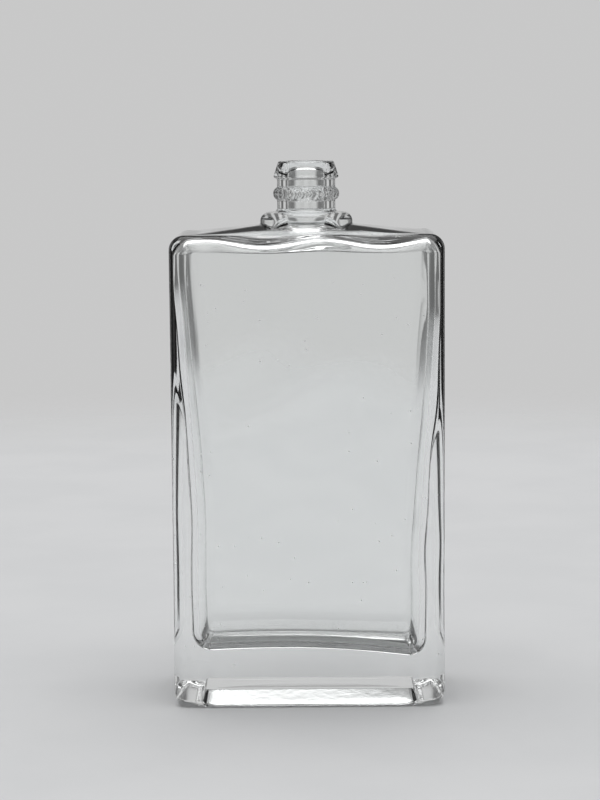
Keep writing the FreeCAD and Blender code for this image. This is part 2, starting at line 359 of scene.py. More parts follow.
@dataclass(frozen=True)
class StudioFloor:
    """Pale matt table top, whose rim fades into the surroundings. Lengths are in metres."""

    name: str = "studio_floor"
    pale: Colour = (0.600, 0.605, 0.612)
    deep: Colour = (0.580, 0.586, 0.594)
    mottle_scale: float = 22.0
    mottle_span: Span = (0.35, 0.65)
    roughness: float = 0.85
    grain_scale: float = 1400.0
    grain_span: Span = (0.3, 0.7)
    grain_roughness: float = 0.05
    gloss: float = 0.2
    fade_span: Span = (0.34, 0.62)

    def make(self) -> bpy.types.Material:
        """Build the material.

        Returns:
            The finished material.
        """
        material = bpy.data.materials.new(self.name)
        material.use_nodes = True
        bench = NodeBench(material.node_tree)
        place = bench.node("ShaderNodeTexCoord", output="Object")
        mottle = bench.ease(bench.noise(place, self.mottle_scale, detail=5.0), *self.mottle_span)
        grain = bench.noise(place, self.grain_scale, detail=2.0)
        grain = bench.ease(grain, *self.grain_span, -self.grain_roughness, self.grain_roughness)
        sockets = {
            "Base Color": bench.blend(mottle, self.pale, self.deep),
            "Roughness": self.roughness + grain,
            "Specular IOR Level": self.gloss,
        }
        matt = bench.node("ShaderNodeBsdfPrincipled", None, sockets)
        reach = bench.node("ShaderNodeVectorMath", {"operation": "LENGTH"}, {0: place}, "Value")
        gone = bench.ease(reach, *self.fade_span)
        clear = bench.node("ShaderNodeBsdfTransparent")
        faded = bench.node("ShaderNodeMixShader", None, {0: gone, 1: matt, 2: clear})
        bench.node("ShaderNodeOutputMaterial", None, {"Surface": faded}, None)
        return material


@dataclass(frozen=True)
class RingGrid:
    """How many points a ring spends on each stretch of a quarter of the bottle's outline."""

    side: int = 10
    corner: int = 12
    face: int = 22
    refine: int = 4
    least_radius: float = 0.02

    def box(self, half_width: float, half_depth: float, radius: float, fine: bool = False) -> np.ndarray:
        """Draw a rectangle with round corners.

        Args:
            half_width: Half its size along X.
            half_depth: Half its size along Y.
            radius: Its corners.
            fine: Whether to spend several times the points, for relief.

        Returns:
            Points in order round it, from the middle of the +X side.
        """
        times = self.refine if fine else 1
        side, corner, face = (times * count for count in (self.side, self.corner, self.face))
        spare = self.least_radius / 2
        radius = min(max(radius, self.least_radius), half_width - spare, half_depth - spare)
        turn = np.linspace(0, QUARTER_TURN, corner, endpoint=False)
        across = np.concatenate((
            np.full(side, half_width),
            half_width - radius + radius * np.cos(turn),
            np.linspace(half_width - radius, 0, face + 1),
        ))
        deep = np.concatenate((
            np.linspace(0, half_depth - radius, side, endpoint=False),
            half_depth - radius + radius * np.sin(turn),
            np.full(face + 1, half_depth),
        ))
        return self._all_quarters(np.column_stack((across, deep)))

    def circle(self, radius: float, fine: bool = False) -> np.ndarray:
        """Draw a circle whose points face those of the rectangle.

        Args:
            radius: Its radius.
            fine: Whether to spend several times the points, for relief.

        Returns:
            Points in order round it, from +X.
        """
        count = (self.side + self.corner + self.face) * (self.refine if fine else 1)
        turn = quarter_arc(count)
        return self._all_quarters(radius * np.column_stack((np.cos(turn), np.sin(turn))))

    @staticmethod
    def _all_quarters(quarter: np.ndarray) -> np.ndarray:
        """Mirror a quarter of an outline all the way round.

        Args:
            quarter: Points from +X to +Y.

        Returns:
            Points in order all the way round, from +X.
        """
        back = quarter[::-1]
        runs = (quarter, back * (-1, 1), quarter * (-1, -1), back * (1, -1))
        return np.vstack([run[:-1] for run in runs])


GRID = RingGrid()


@dataclass
class Ring:
    """One closed run of points round the bottle, with the marks that the mould's relief reads."""

    points: np.ndarray
    marks: Mapping[Mark, np.ndarray]

    @classmethod
    def level(
        cls,
        outline: np.ndarray,
        height: Union[float, np.ndarray],
        marks: Optional[Mapping[Mark, np.ndarray]] = None,
    ) -> "Ring":
        """Lift an outline to a height, the same all round or one for each point."""
        return cls(np.column_stack((outline, np.broadcast_to(height, len(outline)))), marks or {})


def eased(share: Union[float, np.ndarray]) -> np.ndarray:
    """Ease a share in and out between 0 and 1."""
    held = np.clip(share, 0, 1)
    return held * held * (3 - 2 * held)


def lift_off(height: Union[float, np.ndarray], blend: float) -> np.ndarray:
    """Round the crease where a slope leaves a level."""
    return np.sqrt(np.square(height) + blend ** 2) - blend


def quarter_arc(steps: int) -> np.ndarray:
    """List the angles of a quarter turn, both ends included."""
    return np.linspace(0, QUARTER_TURN, steps + 1)


def outward(outline: np.ndarray) -> np.ndarray:
    """Find the direction square to an outline at each of its points.

    Args:
        outline: Points in order round it.

    Returns:
        Directions of length 1 that point out of it.
    """
    along = np.roll(outline, -1, axis=0) - np.roll(outline, 1, axis=0)
    square = np.column_stack((along[:, 1], -along[:, 0]))
    return square / np.linalg.norm(square, axis=1, keepdims=True)


def rounded_path(
    corners: Sequence[tuple[float, float]],
    radii: Sequence[float],
    steps: int = 8,
    lead: bool = True,
    tail: bool = True,
) -> np.ndarray:
    """Round the inner corners of a path.

    Args:
        corners: Points of the path, across and up.
        radii: One radius for each corner between the first point and the last.
        steps: Steps round each arc.
        lead: Whether to list the straight run before the first arc.
        tail: Whether to list the one after the last arc.

    Returns:
        Points of the arcs and of the straight runs between them, which have points close to both ends so
        that flats stay flat.
    """
    points = np.asarray(corners, float)
    stops = [points[0]]
    for before, corner, after, radius in zip(points, points[1:], points[2:], radii):
        back = (before - corner) / np.linalg.norm(before - corner)
        ahead = (after - corner) / np.linalg.norm(after - corner)
        opening = math.acos(float(np.clip(back @ ahead, -1, 1)))
        middle = (back + ahead) / np.linalg.norm(back + ahead)
        centre = corner + middle * radius / math.sin(opening / 2)
        start = corner + back * radius / math.tan(opening / 2) - centre
        end = corner + ahead * radius / math.tan(opening / 2) - centre
        first = math.atan2(start[1], start[0])
        swing = (math.atan2(end[1], end[0]) - first + math.pi) % FULL_TURN - math.pi
        turns = first + swing * np.linspace(0, 1, steps + 1)
        arc = centre + radius * np.column_stack((np.cos(turns), np.sin(turns)))
        stops += [stops[-1] + (arc[0] - stops[-1]) * share for share in RUN_SHARES]
        stops += list(arc)
    if tail:
        last = points[-1] - stops[-1]
        stops += [stops[-1] + last * share for share in (*RUN_SHARES[:-1], 1.0)]
    return np.array(stops if lead else stops[1 + len(RUN_SHARES):])


@dataclass
class BodyBlock:
    """The upright rectangular body: its outside walls and the round edge of its shoulder."""

    half_width: float
    half_depth: float
    eaves: float = 107.5
    edge_radius: float = 3.4
    edge_steps: int = 16
    heel_radius: float = 0.6
    heel_steps: int = 12
    wall_shares: tuple[float, ...] = (0.004, 0.02, 0.06, *np.linspace(0.12, 0.88, 13), 0.94, 0.98, 0.996)

    def outline(self, inset: float = 0.0, fine: bool = False) -> np.ndarray:
        """Draw the body's outline, a distance inside its walls."""
        sizes = self.half_width - inset, self.half_depth - inset, self.edge_radius - inset
        return GRID.box(*sizes, fine)

    def rings(self, underside: np.ndarray) -> Iterator[Ring]:
        """Climb from the heel to the top of the shoulder's edge.

        Args:
            underside: Height of the underside where it meets the heel, for each point round it.

        Yields:
            Rings of the heel, the walls and the shoulder's edge.
        """
        for turn in quarter_arc(self.heel_steps):
            inset = self.heel_radius * (1 - math.sin(turn))
            yield Ring.level(self.outline(inset), underside + self.heel_radius * (1 - math.cos(turn)))
        low, high = underside + self.heel_radius, self.eaves - self.edge_radius
        for share in self.wall_shares:
            yield Ring.level(self.outline(), low + (high - low) * share)
        for turn in quarter_arc(self.edge_steps):
            inset = self.edge_radius * (1 - math.cos(turn))
            yield Ring.level(self.outline(inset), high + self.edge_radius * math.sin(turn))


@dataclass
class Foot:
    """The underside: a hollow with a crowned roof and slanted long walls, in a frame that slopes up.

    The bottle stands on the row of stipples along the hollow's rim. A lean is how far a wall of the hollow
    slants out on its way down.
    """

    block: BodyBlock
    seat: float
    stipple_pitch: float
    row_width: float
    row_fade: float = 0.125
    frame_side: float = 6.1
    frame_face: float = 1.95
    frame_rise: float = 0.6
    frame_margin: float = 0.03
    frame_rings: int = 20
    step_length: float = 2.8
    corner_rise: float = 0.75
    bearing_width: float = 0.9
    least_slope: float = 0.2
    hollow_depth: float = 3.25
    side_lean: float = 0.6
    face_lean: float = 5.42
    hollow_corner: float = 1.2
    roof_radius: float = 0.7
    rim_radius: float = 0.5
    roof_crown: float = 0.25
    roof_margin: float = 2.0
    roof_shares: tuple[float, ...] = (0.06, 0.2, 0.35, 0.5, 0.65, 0.8, 0.92)

    def hollow(self, out_side: float, out_face: float) -> tuple[float, float, float]:
        """Size an outline of the hollow.

        Args:
            out_side: How far it lies outside the roof at the sides.
            out_face: How far it lies outside the roof at the front and back.

        Returns:
            Its half width, half depth and corner radius.
        """
        across = self.block.half_width - self.frame_side - self.side_lean + out_side
        deep = self.block.half_depth - self.frame_face - self.face_lean + out_face
        return across, deep, self.hollow_corner + out_side

    def wall(self, lean: float) -> np.ndarray:
        """Draw the section of a wall of the hollow.

        Args:
            lean: How far the wall slants out.

        Returns:
            Points from the roof down to the bearing strip, as distances outside the roof and heights.
        """
        corners = (
            (-self.roof_margin, self.hollow_depth),
            (0, self.hollow_depth),
            (lean, self.seat),
            (lean + self.bearing_width, self.seat),
        )
        return rounded_path(corners, (self.roof_radius, self.rim_radius), tail=False)

    def edge(self, fine: bool = False) -> np.ndarray:
        """Find how high the frame meets the heel, which is highest at the sides.

        Args:
            fine: Whether to spend several times the points, for relief.

        Returns:
            The height for each point round the heel.
        """
        outline = self.block.outline(self.block.heel_radius, fine)
        roof = self.block.half_width - self.frame_side - self.side_lean
        past = np.abs(outline[:, 0]) - roof
        run = np.clip(past / (outline[:, 0].max() - roof), 0, 1)
        return self.seat + self.frame_rise * eased(past / self.step_length + 1) + self.corner_rise * run

    def rings(self) -> Iterator[Ring]:
        """Spread from the middle of the roof, down the hollow's walls and out over the frame.

        Yields:
            Rings of the roof, the hollow's walls, the bearing strip and the frame.
        """
        yield Ring.level(MIDDLE, self.hollow_depth + self.roof_crown)
        roof = GRID.box(*self.hollow(-self.roof_margin, -self.roof_margin))
        for share in self.roof_shares:
            crown = self.roof_crown * (1 - share ** 2)
            yield Ring.level(roof * share, self.hollow_depth + crown)
        side, face = self.wall(self.side_lean), self.wall(self.face_lean)
        for (out_side, side_height), (out_face, face_height) in zip(side, face):
            outline = GRID.box(*self.hollow(out_side, out_face))
            facing = np.square(outward(outline)[:, 0])
            yield Ring.level(outline, face_height + (side_height - face_height) * facing)
        yield from self._frame(self.hollow(side[-1, 0], face[-1, 0]))

    def _frame(self, strip: tuple[float, float, float]) -> Iterator[Ring]:
        """Cross the bearing strip and the slope to the heel in fine rings that carry the stipples' marks.

        Args:
            strip: Half width, half depth and corner radius of the strip's inner outline.

        Yields:
            Rings of the strip and the slope.
        """
        inner = GRID.box(*strip, fine=True)
        outer = self.block.outline(self.block.heel_radius, fine=True)
        width = np.linalg.norm(outer - inner, axis=1)
        slope_width = np.maximum(width - self.bearing_width, self.least_slope)
        rise = self.edge(fine=True) - self.seat
        for share in np.linspace(self.frame_margin, 1 - self.frame_margin, self.frame_rings):
            outline = inner + (outer - inner) * share
            out, along = self._beside(outline, *strip)
            room = eased((self.row_width - out) / self.row_fade) * eased(out / self.row_fade)
            marks = {Mark.ALONG: along, Mark.OUTWARD: out * MM, Mark.STIPPLED: room}
            slope = np.clip((width * share - self.bearing_width) / slope_width, 0, 1)
            yield Ring.level(outline, self.seat + rise * (slope + eased(slope)) / 2, marks)

    def _beside(
        self, outline: np.ndarray, half_width: float, half_depth: float, radius: float
    ) -> tuple[np.ndarray, np.ndarray]:
        """Measure points outside a round-cornered box squarely off its sides.

        Args:
            outline: The points.
            half_width: Half of the box's width.
            half_depth: Half of its depth.
            radius: Radius of its corners.

        Returns:
            How far out of the box each point is, and how far round it, counted in stipples.
        """
        core = np.array((half_width, half_depth)) - radius
        size = np.abs(outline)
        past = np.maximum(size - core, 0)
        straight = np.minimum(size, core)
        along = straight[:, 1] + radius * np.arctan2(past[:, 1], past[:, 0]) + core[0] - straight[:, 0]
        quarter = core.sum() + radius * QUARTER_TURN
        count = round(quarter / self.stipple_pitch)
        quarters = (outline[:, 0] < 0) + 2 * (outline[:, 1] < 0)
        return np.linalg.norm(past, axis=1) - radius, (along / quarter + quarters) * count


@dataclass
class Shoulder:
    """The gently pitched shoulder, hipped from its edge up to the pedestal."""

    block: BodyBlock
    rise: float = 3.1
    ridge_length: float = 5.0
    ridge_width: float = 3.0
    margin: float = 0.2
    hip_blend: float = 0.25
    edge_blend: float = 0.3
    shares: tuple[float, ...] = (0.02, 0.05, 0.1, 0.17, 0.26, 0.36, 0.46, 0.56, 0.66, 0.76, 0.86, 0.94)

    def height(self, outline: np.ndarray) -> np.ndarray:
        """Find how high the shoulder is.

        Args:
            outline: Points to find it at.

        Returns:
            Its height at each point.
        """
        inset = self.block.edge_radius + self.margin
        across = self.block.half_width - inset
        deep = self.block.half_depth - inset
        end = self.rise * (across - np.abs(outline[:, 0])) / (across - self.ridge_length / 2)
        face = self.rise * (deep - np.abs(outline[:, 1])) / (deep - self.ridge_width / 2)
        share = np.clip(0.5 + (face - end) / (2 * self.hip_blend), 0, 1)
        lower = face * (1 - share) + end * share - self.hip_blend * share * (1 - share)
        return self.block.eaves + lift_off(np.maximum(lower, 0), self.edge_blend)

    def rings(self, foot_radius: float) -> Iterator[Ring]:
        """Climb from the shoulder's edge to the foot of the pedestal.

        Args:
            foot_radius: Radius of the round outline that the shoulder ends in.

        Yields:
            Rings of the pitched shoulder.
        """
        edge = self.block.outline(self.block.edge_radius)
        foot = GRID.circle(foot_radius)
        for share in self.shares:
            outline = edge + (foot - edge) * share
            yield Ring.level(outline, self.height(outline))


@dataclass
class NeckFinish:
    """The round pedestal, the neck with its knurled bead, and the crimp lip with its rim and bore."""

    shoulder: Shoulder
    rim: float
    pedestal_radius: float = 10.55
    pedestal_foot: float = 0.3
    foot_steps: int = 7
    pedestal_shares: tuple[float, ...] = (0.06, 0.5, 0.94)
    pedestal_top: float = 112.3
    pedestal_fall: float = 0.45
    pedestal_edge: float = 2.05
    pedestal_steps: int = 12
    neck_radius: float = 6.65
    neck_foot: float = 0.8
    below_bead: float = 0.4
    above_bead: float = 0.5
    bead_radius: float = 7.55
    bead_low: float = 114.8
    bead_high: float = 117.7
    bead_blend: float = 0.12
    bead_reach: float = 1.75
    bead_rings: int = 27
    bead_run_off: float = 5.0
    knurl_reach: float = 1.35
    knurl_fade: float = 0.6
    zigzag: float = 0.012
    lip_low: float = 119.5
    lip_crown: float = 120.05
    lip_radius: float = 7.5
    rim_radius: float = 6.3
    lip_roundings: tuple[float, ...] = (0.3, 0.45, 0.65, 0.5)
    bore_radius: float = 4.35
    throat_top: float = 111.7

    def rings(self) -> Iterator[Ring]:
        """Climb the pedestal, the neck and the lip, and go down the bore.

        Yields:
            Rings from the foot of the pedestal to the top of the throat.
        """
        yield from self._pedestal()
        yield from self._bead()
        yield from self._lip()

    def _pedestal(self) -> Iterator[Ring]:
        """Climb the pedestal and the foot of the neck.

        Yields:
            Rings from the shoulder to a little below the bead.
        """
        corners = (
            (self.pedestal_radius, self.shoulder.block.eaves),
            (self.pedestal_radius, self.pedestal_top - self.pedestal_fall),
            (self.neck_radius, self.pedestal_top),
            (self.neck_radius, self.bead_low - self.below_bead),
        )
        path = rounded_path(corners, (self.pedestal_edge, self.neck_foot), self.pedestal_steps, lead=False)
        for turn in quarter_arc(self.foot_steps):
            outline = GRID.circle(self.pedestal_radius + self.pedestal_foot * (1 - math.sin(turn)))
            height = self.shoulder.height(outline) + self.pedestal_foot * (1 - math.cos(turn))
            yield Ring.level(outline, height)
        for share in self.pedestal_shares:
            yield Ring.level(outline, height + (path[0, 1] - height) * share)
        for radius, height in path:
            yield Ring.level(GRID.circle(radius), height)

    def _bead(self) -> Iterator[Ring]:
        """Swell over the bead in fine rings that carry the marks for its knurl.

        Yields:
            Rings of the bead and of the neck close to it.
        """
        middle, half = (self.bead_low + self.bead_high) / 2, (self.bead_high - self.bead_low) / 2
        proud = self.bead_radius - self.neck_radius
        sweep = (half ** 2 + proud ** 2) / (2 * proud)
        turn = np.arctan2(*GRID.circle(1.0, fine=True).T[::-1]) / FULL_TURN
        for rise in np.linspace(-self.bead_reach, self.bead_reach, self.bead_rings):
            # Past its ends the arc runs on steeply into the neck, so that only its blend is left there.
            arc = math.sqrt(max(sweep ** 2 - rise ** 2, 0)) - self.bead_run_off * max(abs(rise) - sweep, 0)
            swell = proud - sweep + arc
            swell = (swell + math.hypot(swell, self.bead_blend)) / 2
            share = np.full(len(turn), float(eased((self.knurl_reach - abs(rise)) / self.knurl_fade)))
            marks = {Mark.TURN: turn + self.zigzag * abs(rise), Mark.KNURLED: share}
            yield Ring.level(GRID.circle(self.neck_radius + swell, fine=True), middle + rise, marks)

    def _lip(self) -> Iterator[Ring]:
        """Climb the crimp lip, cross the rim and go down the bore.

        Yields:
            Rings from a little above the bead to the top of the throat.
        """
        corners = (
            (self.neck_radius, self.bead_high + self.above_bead),
            (self.neck_radius, self.lip_low),
            (self.lip_radius, self.lip_crown),
            (self.rim_radius, self.rim),
            (self.bore_radius, self.rim),
            (self.bore_radius, self.throat_top),
        )
        for radius, height in rounded_path(corners, self.lip_roundings):
            yield Ring.level(GRID.circle(radius), height)


@dataclass(frozen=True)
class Ripple:
    """One train of slanting waves in the blown walls, with the lengths in which it turns by a radian."""

    share: float
    up: float
    across: float
    phase: float = 0.0

    def at(self, height: np.ndarray, across: np.ndarray) -> np.ndarray:
        """Find how far the waves lift the wall at each point, as a share."""
        return self.share * np.sin(height / self.up + across / self.across + self.phase)


@dataclass(frozen=True)
class BlownWaves:
    """What blowing leaves uneven in the walls: ripples, streaks that run down and a waist on the right."""

    ripple: float = 0.07
    ripples: tuple[Ripple, ...] = (Ripple(1.0, 6.1, 9.3), Ripple(0.6, 3.7, -5.2, 1.1))
    streak: float = 0.05
    broad_count: int = 13
    broad_bend: float = 0.5
    broad_length: float = 14.0
    narrow_count: int = 29
    narrow_share: float = 0.6
    narrow_length: float = 21.0
    waist: float = 0.3
    waist_height: float = 35.0
    waist_length: float = 5.5

    def push(self, outline: np.ndarray, square: np.ndarray, height: np.ndarray) -> np.ndarray:
        """Find how far the walls of the inside lie outside their even form.

        Args:
            outline: Points of the even form.
            square: Directions out of it at those points.
            height: Heights of those points.

        Returns:
            The distance at each point.
        """
        ripples = sum(ripple.at(height, outline[:, 0]) for ripple in self.ripples)
        swell = self.waist * np.exp(-np.square((height - self.waist_height) / self.waist_length))
        swell = swell * np.square(np.maximum(square[:, 0], 0))
        return self.ripple * ripples + self.streak * self._streaks(square, height) - swell

    def _streaks(self, square: np.ndarray, height: np.ndarray) -> np.ndarray:
        """Find where streaks lift or sink the walls, some broad and wandering, some narrow and twisted.

        Args:
            square: Directions out of the walls.
            height: Heights on them.

        Returns:
            The share of a streak's height at each point.
        """
        turn = np.arctan2(square[:, 1], square[:, 0])
        broad = np.sin(self.broad_count * turn + self.broad_bend * np.sin(height / self.broad_length))
        return broad + self.narrow_share * np.sin(self.narrow_count * turn + height / self.narrow_length)


@dataclass
class Cavity:
    """The blown inside: flared throat, wavy pitched ceiling, walls that thicken downwards and sagged floor.

    The taper of the walls leans, so that it lies lower on the right. The floor sags from a crest left of
    the middle, and on the left and at the back by a share of what it does at the front right.
    """

    block: BodyBlock
    finish: NeckFinish
    waves: BlownWaves = BlownWaves()
    throat_radius: float = 7.25
    throat_steps: int = 12
    ceiling_edge: float = 105.5
    ceiling_top: float = 107.7
    ceiling_blend: float = 0.2
    ceiling_steps: int = 12
    ceiling_shares: tuple[float, ...] = (0.06, 0.15, 0.26, 0.38, 0.5, 0.62, 0.74, 0.85, 0.93, 0.98)
    ceiling_wave: float = 0.4
    ceiling_wave_length: float = 26.3
    ceiling_wave_start: float = -9.6
    heavy_wall: float = 4.0
    heavy_face: float = 3.8
    heavy_corner: float = 4.8
    heavy_height: float = 37.0
    thin_wall: float = 1.7
    thin_face: float = 1.9
    thin_corner: float = 2.6
    thin_height: float = 95.0
    taper_lean: float = 5.5
    wall_start: float = 0.012
    wall_rings: int = 46
    wall_fade: float = 0.1
    floor_height: float = 12.6
    floor_radius: float = 4.8
    floor_steps: int = 14
    floor_shares: tuple[float, ...] = (0.97, 0.9, 0.78, 0.64, 0.5, 0.36, 0.22, 0.08)
    floor_sag: float = 2.2
    floor_crest: float = -6.4
    left_share: float = 0.6
    back_share: float = 0.35
    back_edge: float = 5.0
    back_blend: float = 15.0

    def thin(self, inset: float = 0.0) -> np.ndarray:
        """Draw the cavity's outline high up, a distance inside its walls."""
        return self._within(self.thin_wall, self.thin_face, self.thin_corner, inset)

    def heavy(self, inset: float = 0.0) -> np.ndarray:
        """Draw the cavity's outline low down, a distance inside its walls."""
        return self._within(self.heavy_wall, self.heavy_face, self.heavy_corner, inset)

    def floor(self, outline: np.ndarray) -> np.ndarray:
        """Find the floor's height, which sags from its crest, most at the front right.

        Args:
            outline: Points to find it at.

        Returns:
            The height at each point.
        """
        run = (outline[:, 0] - self.floor_crest) / self.block.half_width
        front = eased((self.back_edge - outline[:, 1]) / self.back_blend)
        right = self.back_share + (1 - self.back_share) * front
        sag = self.floor_sag * np.square(run) * np.where(run > 0, right, self.left_share)
        return self.floor_height - sag

    def rings(self) -> Iterator[Ring]:
        """Go down from the bore to the middle of the floor.

        Yields:
            Rings of the throat, the ceiling, the walls and the floor.
        """
        yield from self._throat()
        yield from self._ceiling()
        yield from self._walls()
        yield from self._floor()

    def _within(self, wall: float, face: float, corner: float, inset: float) -> np.ndarray:
        """Draw an outline inside the body's walls.

        Args:
            wall: Thickness of the walls at the sides.
            face: Thickness of the walls at the front and back.
            corner: Radius of the corners.
            inset: A distance further in.

        Returns:
            Points in order round it.
        """
        across = self.block.half_width - wall - inset
        deep = self.block.half_depth - face - inset
        return GRID.box(across, deep, corner - inset)

    def _throat(self) -> Iterator[Ring]:
        """Flare from the bore to the ceiling.

        Yields:
            Rings of the throat.
        """
        bore, top = self.finish.bore_radius, self.finish.throat_top
        for turn in quarter_arc(self.throat_steps)[1:]:
            radius = bore + (self.throat_radius - bore) * (1 - math.cos(turn))
            yield Ring.level(GRID.circle(radius), top - (top - self.ceiling_top) * math.sin(turn))

    def _wave(self, outline: np.ndarray) -> np.ndarray:
        """Find how far the ceiling waves up and down across the width."""
        phase = FULL_TURN * (outline[:, 0] - self.ceiling_wave_start) / self.ceiling_wave_length
        return -self.ceiling_wave * np.cos(phase)

    def _ceiling(self) -> Iterator[Ring]:
        """Spread from the throat to the edge of the ceiling and round it into the walls.

        Yields:
            Rings of the ceiling.
        """
        start, end = GRID.circle(self.throat_radius), self.thin(self.thin_corner)
        rise = self.ceiling_top - self.ceiling_edge
        for share in self.ceiling_shares:
            outline = start + (end - start) * share
            height = self.ceiling_edge + lift_off(rise * (1 - share), self.ceiling_blend)
            yield Ring.level(outline, height + self._wave(outline) * eased(share))
        for turn in quarter_arc(self.ceiling_steps):
            outline = self.thin(self.thin_corner * (1 - math.sin(turn)))
            drop = self.thin_corner * (1 - math.cos(turn))
            yield Ring.level(outline, self.ceiling_edge - drop + self._wave(outline) * math.cos(turn))

    def _walls(self) -> Iterator[Ring]:
        """Go down the walls, which thicken and are uneven but for their ends.

        Yields:
            Rings of the walls.
        """
        thin, heavy = self.thin(), self.heavy()
        top = self.ceiling_edge - self.thin_corner
        bottom = self.floor(heavy) + self.floor_radius
        for share in np.linspace(self.wall_start, 1, self.wall_rings):
            height = top + (bottom - top) * share
            level = height + self.taper_lean * heavy[:, 0] / self.block.half_width
            slim = (level - self.heavy_height) / (self.thin_height - self.heavy_height)
            slim = (np.clip(slim, 0, 1) + eased(slim)) / 2
            outline = heavy + (thin - heavy) * slim[:, None]
            square = outward(outline)
            fade = eased(share / self.wall_fade) * eased((1 - share) / self.wall_fade)
            push = self.waves.push(outline, square, height) * fade
            yield Ring.level(outline + square * push[:, None], height)

    def _floor(self) -> Iterator[Ring]:
        """Round the walls into the floor and close it in the middle.

        Yields:
            Rings of the floor.
        """
        for turn in quarter_arc(self.floor_steps)[1:]:
            outline = self.heavy(self.floor_radius * (1 - math.cos(turn)))
            yield Ring.level(outline, self.floor(outline) + self.floor_radius * (1 - math.sin(turn)))
        for share in self.floor_shares:
            yield Ring.level(outline * share, self.floor(outline * share))
        yield Ring.level(MIDDLE, self.floor(MIDDLE))


